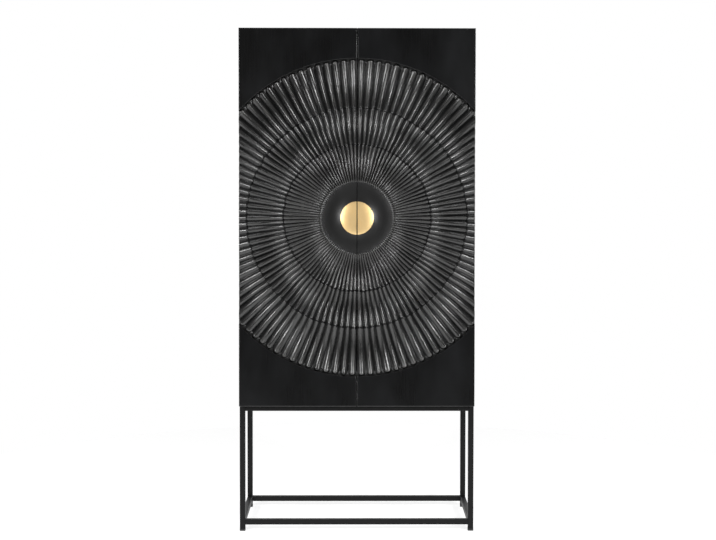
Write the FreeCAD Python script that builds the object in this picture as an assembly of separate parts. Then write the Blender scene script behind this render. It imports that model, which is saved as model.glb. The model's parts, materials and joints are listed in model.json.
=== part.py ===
"""Bar armoire: a two-door cabinet with a carved sunburst front on an iron stand.

Millimetres. +Z is up, the front faces -Y, and the origin is on the floor at the middle of the
footprint. Pieces on the right-hand side are drawn first and mirrored for the left.
"""
import FreeCAD, Part
import math
import os

# Overall sizes
HEIGHT = 1930.0
DOORS_WIDTH = 900.0
CASE_DEPTH = 420.0
STAND_HEIGHT = 485.0

# Iron stand
TUBE = 21.0
TUBE_WALL = 2.0
LOW_RAIL_LIFT = 24.0
GLIDE_FLANGE = 8.0
GLIDE_PLUG = 14.0
TAB_LENGTH = 50.0
TAB_REACH = 35.0
TAB_THICKNESS = 4.0
TAB_SPACING = 500.0
STAND_SCREW_SHANK = 2.5
STAND_SCREW_HEAD = 5.0
STAND_SCREW_HEAD_HEIGHT = 3.0
STAND_SCREW_LENGTH = 18.0

# Case boards
PANEL = 20.0
BACK_THICKNESS = 8.0
BACK_INSET = 3.0
RABBET = 10.0
RABBET_CLEARANCE = 0.5
DOWEL_RADIUS = 4.0
DOWEL_IN_SIDE = 12.0
DOWEL_IN_BOARD = 28.0
HOLE_END_GAP = 1.0
DOWEL_EDGE = 60.0
DOWELS_PER_END = 3
BACK_SCREW_SHANK = 1.75
BACK_SCREW_HEAD = 3.5
BACK_SCREW_LENGTH = 25.0
BACK_SCREWS_PER_BOARD = 4
BACK_SCREW_EDGE = 90.0

# Shelves and bar fittings
FIXED_SHELF_HEIGHT = 660.0
UPPER_SHELF_DROP = 297.0
LOWER_SHELF_RISE = 330.0
SHELF = 18.0
SHELF_SETBACK = 25.0
SHELF_SIDE_GAP = 0.8
SHELF_BACK_GAP = 2.0
PIN_SHANK_RADIUS = 2.5
PIN_SHANK = 10.0
PIN_TAB = 9.0
PIN_TAB_WIDTH = 10.0
PIN_TAB_THICKNESS = 3.0
PIN_COLUMN_EDGE = 60.0
PIN_HOLE_PITCH = 32.0
PIN_HOLES_EACH_WAY = 2
STEM_RAIL_PITCH = 110.0
STEM_SIDE_MARGIN = 45.0
STEM_FLANGE_WIDTH = 72.0
STEM_FLANGE = 8.0
STEM_WEB_WIDTH = 22.0
STEM_WEB_HEIGHT = 24.0
STEM_RAIL_END = 15.0
STEM_SCREW_EDGE = 60.0
STEM_SCREW_BITE = 12.0
BOTTLE_SCALLOP = 42.0
BOTTLE_POST = 16.0
BOTTLE_RAIL = 18.0
BOTTLE_RAIL_HEIGHT = 60.0
BOTTLE_WEB_HEIGHT = 26.0
BOTTLE_RAIL_SETBACK = 70.0
BOTTLE_RAIL_SPACING = 190.0
BOTTLE_SCREW_BITE = 16.0
FITTING_SCREW_SHANK = 2.0
FITTING_SCREW_HEAD = 4.0

# Doors
DOOR_THICKNESS = 30.0
DOOR_SEAM = 2.5
DOOR_REVEAL = 2.0
DOOR_OVERHANG = 3.0

# Carved sunburst: a boss, a dish round it and three rings of reeds in hollow coves
BOSS_RADIUS = 60.0
DISH_WIDTH = 80.0
INNER_RING_WIDTH = 140.0
MIDDLE_RING_WIDTH = 140.0
OUTER_RING_WIDTH = 175.0
RECESS_BORDER = 11.0
REEDS_PER_DOOR = 55
REED_SLOPE_DEGREES = 38.0
RIDGE_DEPTH = 1.0
COVE_DEPTH = 9.0

# Brass pull: a domed disc split by the seam
HANDLE_RADIUS = 63.0
HANDLE_STANDOFF = 12.0
HANDLE_EDGE = 5.0
HANDLE_DOME = 3.0
POST_RADIUS = 6.0
POST_RIM_INSET = 23.0
POST_ANGLE_DEGREES = 49.0
HANDLE_SCREW_SHANK = 2.0
HANDLE_SCREW_HEAD = 4.5
HANDLE_SCREW_HEAD_HEIGHT = 3.0
HANDLE_SCREW_BITE = 9.0

# Hinges
HINGES_PER_DOOR = 3
HINGE_LENGTH = 76.0
HINGE_EDGE = 150.0
KNUCKLES = 5
KNUCKLE_GAP = 0.4
BARREL_RADIUS = 3.2
PIN_RADIUS = 1.6
PIN_RUNNING_CLEARANCE = 0.05
PIN_HEAD_RADIUS = 2.6
PIN_HEAD = 1.2
HINGE_AXIS_OUTSET = 0.4
LEAF = 1.5
LEAF_CLEARANCE = 0.4
LEAF_EDGE = 4.0
NOTCH_CLEARANCE = 0.5
HINGE_SCREWS_PER_LEAF = 3
HINGE_SCREW_EDGE = 13.0
HINGE_SCREW_SHANK = 1.7
HINGE_SCREW_HEAD = 3.1
HINGE_SCREW_LENGTH = 13.0

# Magnetic catches, strike plates and bumpers
CATCH_X = 70.0
CATCH_LENGTH = 44.0
CATCH_HEIGHT = 14.0
CATCH_DEPTH = 16.0
CATCH_WALL = 3.0
MAGNET_LENGTH = 20.0
MAGNET_DEPTH = 8.0
MAGNET_CLEARANCE = 0.1
STRIKE_CLEARANCE = 0.5
STRIKE_LENGTH = 40.0
STRIKE_HEIGHT = 12.0
STRIKE = 1.4
STRIKE_SCREW_EDGE = 5.0
SMALL_SCREW_SHANK = 1.2
SMALL_SCREW_HEAD = 2.2
SMALL_SCREW_LENGTH = 9.0
BUMPER_X = 24.0
BUMPER_RADIUS = 5.0
BUMPER_CLEARANCE = 0.4

# Screws and dowels in their holes
HOLE_CLEARANCE = 0.1

# Sizes and planes worked out from the ones above
DOOR_GAP = 2 * LEAF + LEAF_CLEARANCE
HANDLE_DEPTH = HANDLE_STANDOFF + HANDLE_EDGE + HANDLE_DOME
DEPTH = HANDLE_DEPTH + DOOR_THICKNESS + DOOR_GAP + CASE_DEPTH
DOOR_FRONT = HANDLE_DEPTH - DEPTH / 2
DOOR_BACK = DOOR_FRONT + DOOR_THICKNESS
CASE_FRONT = DOOR_BACK + DOOR_GAP
CASE_REAR = CASE_FRONT + CASE_DEPTH
BACK_REAR = CASE_REAR - BACK_INSET
BACK_FRONT = BACK_REAR - BACK_THICKNESS
CASE_SIDE = DOORS_WIDTH / 2 - DOOR_OVERHANG
CASE_INSIDE = CASE_SIDE - PANEL
CASE_FLOOR = STAND_HEIGHT + PANEL
CASE_CEILING = HEIGHT - PANEL
DOOR_BOTTOM = STAND_HEIGHT + DOOR_REVEAL
DOOR_TOP = HEIGHT - DOOR_REVEAL
DOOR_SIDE = DOORS_WIDTH / 2
SUN_HEIGHT = (DOOR_BOTTOM + DOOR_TOP) / 2
FIXED_SHELF_TOP = CASE_FLOOR + FIXED_SHELF_HEIGHT
UPPER_SHELF_BOTTOM = CASE_CEILING - UPPER_SHELF_DROP - SHELF
LOWER_SHELF_BOTTOM = CASE_FLOOR + LOWER_SHELF_RISE
SHELF_FRONT = CASE_FRONT + SHELF_SETBACK
SHELF_REAR = BACK_FRONT - SHELF_BACK_GAP
HINGE_X = CASE_SIDE + HINGE_AXIS_OUTSET
HINGE_Y = DOOR_BACK + DOOR_GAP / 2
BOTTLE_PITCH = 2 * BOTTLE_SCALLOP + BOTTLE_POST
BOTTLE_COUNT = int(2 * CASE_INSIDE // BOTTLE_PITCH)
STEM_RAIL_ROOM = 2 * (CASE_INSIDE - STEM_SIDE_MARGIN) - STEM_FLANGE_WIDTH
STEM_RAIL_COUNT = 1 + int(STEM_RAIL_ROOM // STEM_RAIL_PITCH)
MAGNET_HEIGHT = CATCH_HEIGHT - 2 * CATCH_WALL
CATCH_SCREW_SPACING = (CATCH_LENGTH + MAGNET_LENGTH) / 2
STRIKE_SCREW_SPACING = STRIKE_LENGTH - 2 * STRIKE_SCREW_EDGE
RING_WIDTHS = (DISH_WIDTH, INNER_RING_WIDTH, MIDDLE_RING_WIDTH, OUTER_RING_WIDTH)

Vector = FreeCAD.Vector
RIGHTWARD = Vector(1, 0, 0)
REARWARD = Vector(0, 1, 0)
FORWARD = Vector(0, -1, 0)
UPWARD = Vector(0, 0, 1)
DOWNWARD = Vector(0, 0, -1)


def block(left, right, front, rear, bottom, top):
    """Rectangular board between six planes."""
    return Part.makeBox(right - left, rear - front, top - bottom, Vector(left, front, bottom))


def mirrored(shape):
    """The same piece on the left-hand side."""
    return shape.mirror(Vector(0, 0, 0), RIGHTWARD)


def both_sides(shapes):
    """Right-hand pieces with their left-hand copies."""
    return shapes + [mirrored(shape) for shape in shapes]


def group(shapes):
    """Separate like pieces that share one node."""
    return Part.makeCompound(shapes)


def spread(count, span):
    """Places evenly spread about zero from -span/2 to span/2."""
    return [span * (index / (count - 1) - 0.5) for index in range(count)]


def countersunk(head, shank, length, face, direction, clearance=0.0):
    """Screw with its flat head flush with a face, or its hole where a clearance is given."""
    cone = Part.makeCone(head + clearance, shank + clearance, head - shank, face, direction)
    return cone.fuse(Part.makeCylinder(shank + clearance, length + clearance, face, direction))


def pan_screw(head, head_height, shank, length, seat, direction, clearance=0.0):
    """Screw with its round head standing on a seat, or its hole where a clearance is given."""
    top = seat - direction * head_height
    cap = Part.makeCylinder(head + clearance, head_height, top, direction)
    return cap.fuse(Part.makeCylinder(shank + clearance, length + clearance, seat, direction))


# Iron stand

def tube(start, end):
    """Square tube with its outside corner planes at two opposite corners of a box."""
    outside = block(start.x, end.x, start.y, end.y, start.z, end.z)
    spans = (end.x - start.x, end.y - start.y, end.z - start.z)
    along = spans.index(max(spans))
    wall = [TUBE_WALL] * 3
    wall[along] = 0.0
    inset = Vector(*wall)
    low = start + inset
    high = end - inset
    return outside.cut(block(low.x, high.x, low.y, high.y, low.z, high.z))


def stand_tubes():
    """Four legs with a rectangle of rails at the top and another near the floor."""
    inner_x = DOOR_SIDE - TUBE
    inner_front = CASE_FRONT + TUBE
    inner_rear = CASE_REAR - TUBE
    pieces = {}
    for name, front, rear in (("front", CASE_FRONT, inner_front), ("rear", inner_rear, CASE_REAR)):
        leg = tube(Vector(inner_x, front, GLIDE_FLANGE), Vector(DOOR_SIDE, rear, STAND_HEIGHT))
        pieces[name + "_right_leg"] = leg
        pieces[name + "_left_leg"] = mirrored(leg)
        for level, bottom in (("top", STAND_HEIGHT - TUBE), ("low", LOW_RAIL_LIFT)):
            rail = tube(Vector(-inner_x, front, bottom), Vector(inner_x, rear, bottom + TUBE))
            pieces[name + "_" + level + "_rail"] = rail
    for level, bottom in (("top", STAND_HEIGHT - TUBE), ("low", LOW_RAIL_LIFT)):
        rail = tube(Vector(inner_x, inner_front, bottom), Vector(DOOR_SIDE, inner_rear, bottom + TUBE))
        pieces["right_" + level + "_rail"] = rail
        pieces["left_" + level + "_rail"] = mirrored(rail)
    return pieces


def floor_glides():
    """Plastic glide under each leg with its plug inside the tube."""
    glides = []
    plug_inset = TUBE_WALL + HOLE_CLEARANCE
    for front in (CASE_FRONT, CASE_REAR - TUBE):
        left = DOOR_SIDE - TUBE
        flange = block(left, left + TUBE, front, front + TUBE, 0.0, GLIDE_FLANGE)
        plug = block(left + plug_inset, left + TUBE - plug_inset, front + plug_inset,
                     front + TUBE - plug_inset, 0.0, GLIDE_FLANGE + GLIDE_PLUG)
        glides.append(flange.fuse(plug).removeSplitter())
    return group(both_sides(glides))


def tab_places():
    """Front and rear edge of each right-hand tab."""
    front = CASE_FRONT + TUBE
    rear = CASE_REAR - TUBE
    return ((front, front + TAB_REACH), (rear - TAB_REACH, rear))


def stand_screw_seats():
    """Underside of each tab where its screw head sits."""
    seats = []
    for front, rear in tab_places():
        for x in spread(2, TAB_SPACING):
            seats.append(Vector(x, (front + rear) / 2, STAND_HEIGHT - TAB_THICKNESS))
    return seats


def stand_screw(seat, clearance=0.0):
    """Screw that holds the case down on one tab."""
    return pan_screw(STAND_SCREW_HEAD, STAND_SCREW_HEAD_HEIGHT, STAND_SCREW_SHANK,
                     STAND_SCREW_LENGTH, seat, UPWARD, clearance)


def stand_screw_holes():
    """Holes for the stand screws in the tabs and the case."""
    return [stand_screw(seat, HOLE_CLEARANCE) for seat in stand_screw_seats()]


def stand_tabs():
    """Flat tabs welded to the front and rear top rails, flush with their upper face."""
    tabs = []
    for front, rear in tab_places():
        left = TAB_SPACING / 2 - TAB_LENGTH / 2
        tabs.append(block(left, left + TAB_LENGTH, front, rear, STAND_HEIGHT - TAB_THICKNESS, STAND_HEIGHT))
    return group([tab.cut(stand_screw_holes()) for tab in both_sides(tabs)])


# Case

def board_heights():
    """Middle height of each board that is dowelled between the sides and screwed to the back."""
    half = PANEL / 2
    return (STAND_HEIGHT + half, FIXED_SHELF_TOP - half, HEIGHT - half)


def dowels(clearance=0.0, end_gap=0.0):
    """Right-hand dowels between the side panel and the boards, or their holes."""
    middle = (CASE_FRONT + BACK_FRONT) / 2
    span = BACK_FRONT - CASE_FRONT - 2 * DOWEL_EDGE
    left = CASE_INSIDE - DOWEL_IN_BOARD - end_gap
    length = DOWEL_IN_BOARD + DOWEL_IN_SIDE + 2 * end_gap
    shapes = []
    for height in board_heights():
        for offset in spread(DOWELS_PER_END, span):
            start = Vector(left, middle + offset, height)
            shapes.append(Part.makeCylinder(DOWEL_RADIUS + clearance, length, start, RIGHTWARD))
    return shapes


def dowel_holes():
    """Holes for the right-hand dowels."""
    return dowels(HOLE_CLEARANCE, HOLE_END_GAP)


def pin_columns():
    """Front and rear column of shelf pin holes."""
    return (SHELF_FRONT + PIN_COLUMN_EDGE, SHELF_REAR - PIN_COLUMN_EDGE)


def pin_centre(shelf_bottom):
    """Height of the pin hole that carries a shelf."""
    return shelf_bottom - PIN_TAB_THICKNESS + PIN_SHANK_RADIUS


def pin_holes():
    """Rows of pin holes in the right-hand side panel."""
    radius = PIN_SHANK_RADIUS + HOLE_CLEARANCE
    depth = PIN_SHANK + HOLE_END_GAP
    shapes = []
    for bottom in (UPPER_SHELF_BOTTOM, LOWER_SHELF_BOTTOM):
        for y in pin_columns():
            for step in range(-PIN_HOLES_EACH_WAY, PIN_HOLES_EACH_WAY + 1):
                mouth = Vector(CASE_INSIDE, y, pin_centre(bottom) + step * PIN_HOLE_PITCH)
                shapes.append(Part.makeCylinder(radius, depth, mouth, RIGHTWARD))
    return shapes


def shelf_pins():
    """Spade pins under the two adjustable shelves."""
    pins = []
    for bottom in (UPPER_SHELF_BOTTOM, LOWER_SHELF_BOTTOM):
        for y in pin_columns():
            tab = block(CASE_INSIDE - PIN_TAB, CASE_INSIDE, y - PIN_TAB_WIDTH / 2, y + PIN_TAB_WIDTH / 2,
                        bottom - PIN_TAB_THICKNESS, bottom)
            root = Vector(CASE_INSIDE, y, pin_centre(bottom))
            shank = Part.makeCylinder(PIN_SHANK_RADIUS, PIN_SHANK, root, RIGHTWARD)
            pins.append(tab.fuse(shank).removeSplitter())
    return group(both_sides(pins))


def side_panel():
    """Right-hand side with its rabbet, dowel holes, pin holes and hinge cuts."""
    panel = block(CASE_INSIDE, CASE_SIDE, CASE_FRONT, CASE_REAR, STAND_HEIGHT, HEIGHT)
    rabbet = block(CASE_INSIDE, CASE_INSIDE + RABBET, BACK_FRONT, CASE_REAR, STAND_HEIGHT, HEIGHT)
    holes = dowel_holes() + pin_holes() + case_hinge_screws(HOLE_CLEARANCE)
    return panel.cut([rabbet] + hinge_notches() + holes)


def back_screws(clearance=0.0):
    """Screws through the back panel into the rear edges of the boards, or their holes."""
    span = 2 * (CASE_INSIDE - BACK_SCREW_EDGE)
    shapes = []
    for height in board_heights():
        for x in spread(BACK_SCREWS_PER_BOARD, span):
            shapes.append(countersunk(BACK_SCREW_HEAD, BACK_SCREW_SHANK, BACK_SCREW_LENGTH,
                                      Vector(x, BACK_REAR, height), FORWARD, clearance))
    return shapes


def back_panel():
    """Back panel that sits in the rabbets of the sides and covers the boards' rear edges."""
    half = CASE_INSIDE + RABBET - RABBET_CLEARANCE
    panel = block(-half, half, BACK_FRONT, BACK_REAR, STAND_HEIGHT, HEIGHT)
    return panel.cut(back_screws(HOLE_CLEARANCE))


def case_board(bottom):
    """Full-depth board between the sides."""
    board = block(-CASE_INSIDE, CASE_INSIDE, CASE_FRONT, BACK_FRONT, bottom, bottom + PANEL)
    return board.cut(both_sides(dowel_holes()) + back_screws(HOLE_CLEARANCE))


def top_panel():
    """Top board with the screw holes of its catches."""
    return case_board(CASE_CEILING).cut(catch_screws(HOLE_CLEARANCE))


def bottom_panel():
    """Bottom board with the screw holes of the stand, the bottle rails and its catches."""
    holes = stand_screw_holes() + bottle_rail_screws(HOLE_CLEARANCE) + catch_screws(HOLE_CLEARANCE)
    return case_board(STAND_HEIGHT).cut(holes)


def fixed_shelf():
    """Dowelled shelf that serves as the worktop, set back behind the doors."""
    board = case_board(FIXED_SHELF_TOP - PANEL)
    return board.cut(block(-CASE_INSIDE, CASE_INSIDE, CASE_FRONT, SHELF_FRONT, CASE_FLOOR, CASE_CEILING))


def loose_shelf(bottom):
    """Adjustable shelf that rests on four pins."""
    half = CASE_INSIDE - SHELF_SIDE_GAP
    return block(-half, half, SHELF_FRONT, SHELF_REAR, bottom, bottom + SHELF)


# Bar fittings

def stem_rail_places():
    """Middle of each stemware rail across the case."""
    return spread(STEM_RAIL_COUNT, STEM_RAIL_PITCH * (STEM_RAIL_COUNT - 1))


def stemware_screws(clearance=0.0):
    """Screws up through the stemware rails into the upper shelf, or their holes."""
    face = UPPER_SHELF_BOTTOM - STEM_WEB_HEIGHT - STEM_FLANGE
    length = STEM_FLANGE + STEM_WEB_HEIGHT + STEM_SCREW_BITE
    shapes = []
    for x in stem_rail_places():
        for y in (SHELF_FRONT + STEM_SCREW_EDGE, SHELF_REAR - STEM_SCREW_EDGE):
            shapes.append(countersunk(FITTING_SCREW_HEAD, FITTING_SCREW_SHANK, length,
                                      Vector(x, y, face), UPWARD, clearance))
    return shapes


def stemware_rails():
    """T-shaped rails under the upper shelf that hold glasses by the foot."""
    front = SHELF_FRONT + STEM_RAIL_END
    rear = SHELF_REAR - STEM_RAIL_END
    web_bottom = UPPER_SHELF_BOTTOM - STEM_WEB_HEIGHT
    holes = stemware_screws(HOLE_CLEARANCE)
    rails = []
    for x in stem_rail_places():
        web = block(x - STEM_WEB_WIDTH / 2, x + STEM_WEB_WIDTH / 2, front, rear,
                    web_bottom, UPPER_SHELF_BOTTOM)
        flange = block(x - STEM_FLANGE_WIDTH / 2, x + STEM_FLANGE_WIDTH / 2, front, rear,
                       web_bottom - STEM_FLANGE, web_bottom)
        rails.append(web.fuse(flange).removeSplitter().cut(holes))
    return group(rails)


def upper_shelf():
    """Adjustable shelf that carries the stemware rails."""
    return loose_shelf(UPPER_SHELF_BOTTOM).cut(stemware_screws(HOLE_CLEARANCE))


def bottle_rail_fronts():
    """Front plane of the front and rear bottle rails."""
    front = CASE_FRONT + BOTTLE_RAIL_SETBACK
    return (front, front + BOTTLE_RAIL_SPACING)


def bottle_rail_screws(clearance=0.0):
    """Screws up through the bottom board into the bottle rails, or their holes."""
    shapes = []
    for front in bottle_rail_fronts():
        for x in spread(2, BOTTLE_PITCH * (BOTTLE_COUNT - 2)):
            shapes.append(countersunk(FITTING_SCREW_HEAD, FITTING_SCREW_SHANK, PANEL + BOTTLE_SCREW_BITE,
                                      Vector(x, front + BOTTLE_RAIL / 2, STAND_HEIGHT), UPWARD, clearance))
    return shapes


def bottle_rail(front):
    """Upright board with a row of round scallops that bottles lie in."""
    half = BOTTLE_PITCH * BOTTLE_COUNT / 2
    board = block(-half, half, front, front + BOTTLE_RAIL, CASE_FLOOR, CASE_FLOOR + BOTTLE_RAIL_HEIGHT)
    centre_height = CASE_FLOOR + BOTTLE_WEB_HEIGHT + BOTTLE_SCALLOP
    cuts = bottle_rail_screws(HOLE_CLEARANCE)
    for x in spread(BOTTLE_COUNT, BOTTLE_PITCH * (BOTTLE_COUNT - 1)):
        cuts.append(Part.makeCylinder(BOTTLE_SCALLOP, BOTTLE_RAIL, Vector(x, front, centre_height), REARWARD))
    return board.cut(cuts)


# Catches and bumpers

def catch_levels():
    """Bottom height of the catches over the floor and under the ceiling, with their screw direction."""
    return ((CASE_FLOOR, DOWNWARD), (CASE_CEILING - CATCH_HEIGHT, UPWARD))


def magnet(bottom, clearance=0.0):
    """Right-hand magnet standing out of its housing towards the strike plate, or its pocket."""
    front = DOOR_BACK + STRIKE + STRIKE_CLEARANCE
    middle = bottom + CATCH_HEIGHT / 2
    half_length = MAGNET_LENGTH / 2 + clearance
    half_height = MAGNET_HEIGHT / 2 + clearance
    return block(CATCH_X - half_length, CATCH_X + half_length, front, front + MAGNET_DEPTH + clearance,
                 middle - half_height, middle + half_height)


def catch_magnets():
    """One magnet for each catch."""
    return group(both_sides([magnet(bottom) for bottom, _ in catch_levels()]))


def catch_screws(clearance=0.0):
    """Screws that hold the catch housings to the case, or their holes."""
    shapes = []
    for bottom, direction in catch_levels():
        face_height = bottom + CATCH_HEIGHT if direction == DOWNWARD else bottom
        for offset in spread(2, CATCH_SCREW_SPACING):
            face = Vector(CATCH_X + offset, CASE_FRONT + CATCH_DEPTH / 2, face_height)
            shapes.append(countersunk(SMALL_SCREW_HEAD, SMALL_SCREW_SHANK, CATCH_HEIGHT + SMALL_SCREW_LENGTH,
                                      face, direction, clearance))
    return both_sides(shapes)


def catch_housings():
    """Plastic housings screwed to the case floor and ceiling behind the doors."""
    housings = []
    holes = catch_screws(HOLE_CLEARANCE)
    for bottom, _ in catch_levels():
        body = block(CATCH_X - CATCH_LENGTH / 2, CATCH_X + CATCH_LENGTH / 2,
                     CASE_FRONT, CASE_FRONT + CATCH_DEPTH, bottom, bottom + CATCH_HEIGHT)
        housings.append(body.cut([magnet(bottom, MAGNET_CLEARANCE)] + holes))
    return group(both_sides(housings))


def strike_screws(clearance=0.0):
    """Right-hand strike plate screws, or their holes."""
    shapes = []
    for bottom, _ in catch_levels():
        for offset in spread(2, STRIKE_SCREW_SPACING):
            face = Vector(CATCH_X + offset, DOOR_BACK + STRIKE, bottom + CATCH_HEIGHT / 2)
            shapes.append(countersunk(SMALL_SCREW_HEAD, SMALL_SCREW_SHANK, SMALL_SCREW_LENGTH,
                                      face, FORWARD, clearance))
    return shapes


def strike_plates():
    """Steel plates on the back of the right-hand door that the magnets hold."""
    plates = []
    for bottom, _ in catch_levels():
        middle = bottom + CATCH_HEIGHT / 2
        plate = block(CATCH_X - STRIKE_LENGTH / 2, CATCH_X + STRIKE_LENGTH / 2, DOOR_BACK, DOOR_BACK + STRIKE,
                      middle - STRIKE_HEIGHT / 2, middle + STRIKE_HEIGHT / 2)
        plates.append(plate.cut(strike_screws(HOLE_CLEARANCE)))
    return plates


def door_bumpers():
    """Rubber pads on the front edges of the top and bottom boards."""
    thickness = DOOR_GAP - BUMPER_CLEARANCE
    pads = []
    for height in (STAND_HEIGHT + PANEL / 2, HEIGHT - PANEL / 2):
        seat = Vector(BUMPER_X, CASE_FRONT, height)
        pads.append(Part.makeCylinder(BUMPER_RADIUS, thickness, seat, FORWARD))
    return group(both_sides(pads))


# Hinges

def hinge_centres():
    """Middle height of each hinge on a door."""
    span = DOOR_TOP - DOOR_BOTTOM - 2 * HINGE_EDGE
    return [SUN_HEIGHT + offset for offset in spread(HINGES_PER_DOOR, span)]


def barrel(radius, bottom, length):
    """Cylinder on the right-hand hinge axis."""
    return Part.makeCylinder(radius, length, Vector(HINGE_X, HINGE_Y, bottom), UPWARD)


def hinge_notches():
    """Round notches in the case and the door that the hinge barrels sit in."""
    radius = BARREL_RADIUS + NOTCH_CLEARANCE
    length = HINGE_LENGTH + 2 * (PIN_HEAD + NOTCH_CLEARANCE)
    return [barrel(radius, centre - length / 2, length) for centre in hinge_centres()]


def knuckle_span(centre, index):
    """Bottom and length of one knuckle's share of the barrel."""
    pitch = HINGE_LENGTH / KNUCKLES
    return centre - HINGE_LENGTH / 2 + index * pitch, pitch


def leaf_middle():
    """Middle of the hinge leaves across the side panel's edge."""
    return CASE_SIDE - PANEL / 2


def hinge_leaf(centre, front, own, other):
    """Leaf lying from one plane rearward, with its own knuckles and room for the other leaf's."""
    left = CASE_INSIDE + LEAF_EDGE
    bottom = centre - HINGE_LENGTH / 2
    leaf = block(left, HINGE_X, front, front + LEAF,
                 bottom + KNUCKLE_GAP / 2, bottom + HINGE_LENGTH - KNUCKLE_GAP / 2)
    rooms = []
    for index in other:
        start, length = knuckle_span(centre, index)
        rooms.append(barrel(BARREL_RADIUS + NOTCH_CLEARANCE, start, length))
    leaf = leaf.cut(rooms)
    knuckles = []
    for index in own:
        start, length = knuckle_span(centre, index)
        knuckles.append(barrel(BARREL_RADIUS, start + KNUCKLE_GAP / 2, length - KNUCKLE_GAP))
    bore = barrel(PIN_RADIUS + PIN_RUNNING_CLEARANCE, bottom, HINGE_LENGTH)
    return leaf.fuse(knuckles).cut(bore)


def case_hinge_leaves():
    """Right-hand leaves screwed to the front edge of the side panel, with the odd knuckles."""
    own = range(0, KNUCKLES, 2)
    other = range(1, KNUCKLES, 2)
    holes = case_hinge_screws(HOLE_CLEARANCE)
    return [hinge_leaf(centre, CASE_FRONT - LEAF, own, other).cut(holes) for centre in hinge_centres()]


def door_hinge_leaves():
    """Right-hand leaves screwed to the back of the door, with the even knuckles."""
    own = range(1, KNUCKLES, 2)
    other = range(0, KNUCKLES, 2)
    holes = door_hinge_screws(HOLE_CLEARANCE)
    return [hinge_leaf(centre, DOOR_BACK, own, other).cut(holes) for centre in hinge_centres()]


def hinge_pins():
    """Right-hand pins with a head resting on the top knuckle."""
    pins = []
    for centre in hinge_centres():
        bottom = centre - HINGE_LENGTH / 2
        top = bottom + HINGE_LENGTH - KNUCKLE_GAP / 2
        pins.append(barrel(PIN_RADIUS, bottom, top - bottom).fuse(barrel(PIN_HEAD_RADIUS, top, PIN_HEAD)))
    return pins


def leaf_screws(face_y, direction, clearance):
    """Right-hand screws of one set of leaves, or their holes."""
    shapes = []
    for centre in hinge_centres():
        for offset in spread(HINGE_SCREWS_PER_LEAF, HINGE_LENGTH - 2 * HINGE_SCREW_EDGE):
            face = Vector(leaf_middle(), face_y, centre + offset)
            shapes.append(countersunk(HINGE_SCREW_HEAD, HINGE_SCREW_SHANK, HINGE_SCREW_LENGTH,
                                      face, direction, clearance))
    return shapes


def case_hinge_screws(clearance=0.0):
    """Right-hand screws into the side panel's edge."""
    return leaf_screws(CASE_FRONT - LEAF, REARWARD, clearance)


def door_hinge_screws(clearance=0.0):
    """Right-hand screws into the back of the door."""
    return leaf_screws(DOOR_BACK + LEAF, FORWARD, clearance)


# Carved sunburst

def sun_point(radius, angle, depth):
    """Point of the carving: angle clockwise from straight up, depth measured into the door."""
    return Vector(radius * math.sin(angle), DOOR_FRONT + depth, SUN_HEIGHT + radius * math.cos(angle))


def reed_relief(radius):
    """Depth of the groove between two reeds below their crowns."""
    width = math.pi * radius / REEDS_PER_DOOR
    return width * math.tan(math.radians(REED_SLOPE_DEGREES)) / 4


def ring_bounds():
    """Inner radius, outer radius and groove depths at the start, middle and end of each ring."""
    bounds = []
    inner = BOSS_RADIUS
    for width in RING_WIDTHS:
        outer = inner + width
        if inner == BOSS_RADIUS:
            reliefs = (0.0, 0.0, reed_relief(outer))
        else:
            reliefs = (reed_relief(inner), reed_relief((inner + outer) / 2), reed_relief(outer))
        bounds.append((inner, outer, reliefs))
        inner = outer
    return bounds


def reed_poles(start, stop, inner, outer, reliefs):
    """Control points of one reed, three across it by three along it: a crown in a hollow cove."""
    rows = []
    for share, side in ((0.0, 1), (0.5, -1), (1.0, 1)):
        row = []
        for along, cove, relief in zip((0.0, 0.5, 1.0), (0.0, 2 * COVE_DEPTH, 0.0), reliefs):
            radius = inner + along * (outer - inner)
            depth = RIDGE_DEPTH + cove + side * relief
            first = sun_point(radius, start, depth)
            last = sun_point(radius, stop, depth)
            row.append(first * (1 - share) + last * share)
        rows.append(row)
    return rows


def reed_face(poles):
    """Curved face through the control points of one reed."""
    surface = Part.BezierSurface()
    surface.increase(2, 2)
    for across, row in enumerate(poles, 1):
        for along, pole in enumerate(row, 1):
            surface.setPole(across, along, pole)
    return surface.toShape()


def bow(poles):
    """Edge along three control points."""
    curve = Part.BezierCurve()
    curve.setPoles(poles)
    return curve.toShape()


def flat_face(edges):
    """Plane face inside a closed chain of edges."""
    return Part.Face(Part.Wire(Part.__sortEdges__(edges)))


def rim_arc(radius, depth):
    """Half circle round the sun from straight up to straight down, on the right."""
    points = [sun_point(radius, turn, depth) for turn in (0, math.pi / 2, math.pi)]
    return Part.Arc(*points).toShape()


def seam_lines(from_radius, from_depth, to_radius, to_depth):
    """Two like lines on the seam plane, above and below the middle of the sun."""
    return [Part.makeLine(sun_point(from_radius, turn, from_depth), sun_point(to_radius, turn, to_depth))
            for turn in (0, math.pi)]


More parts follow.
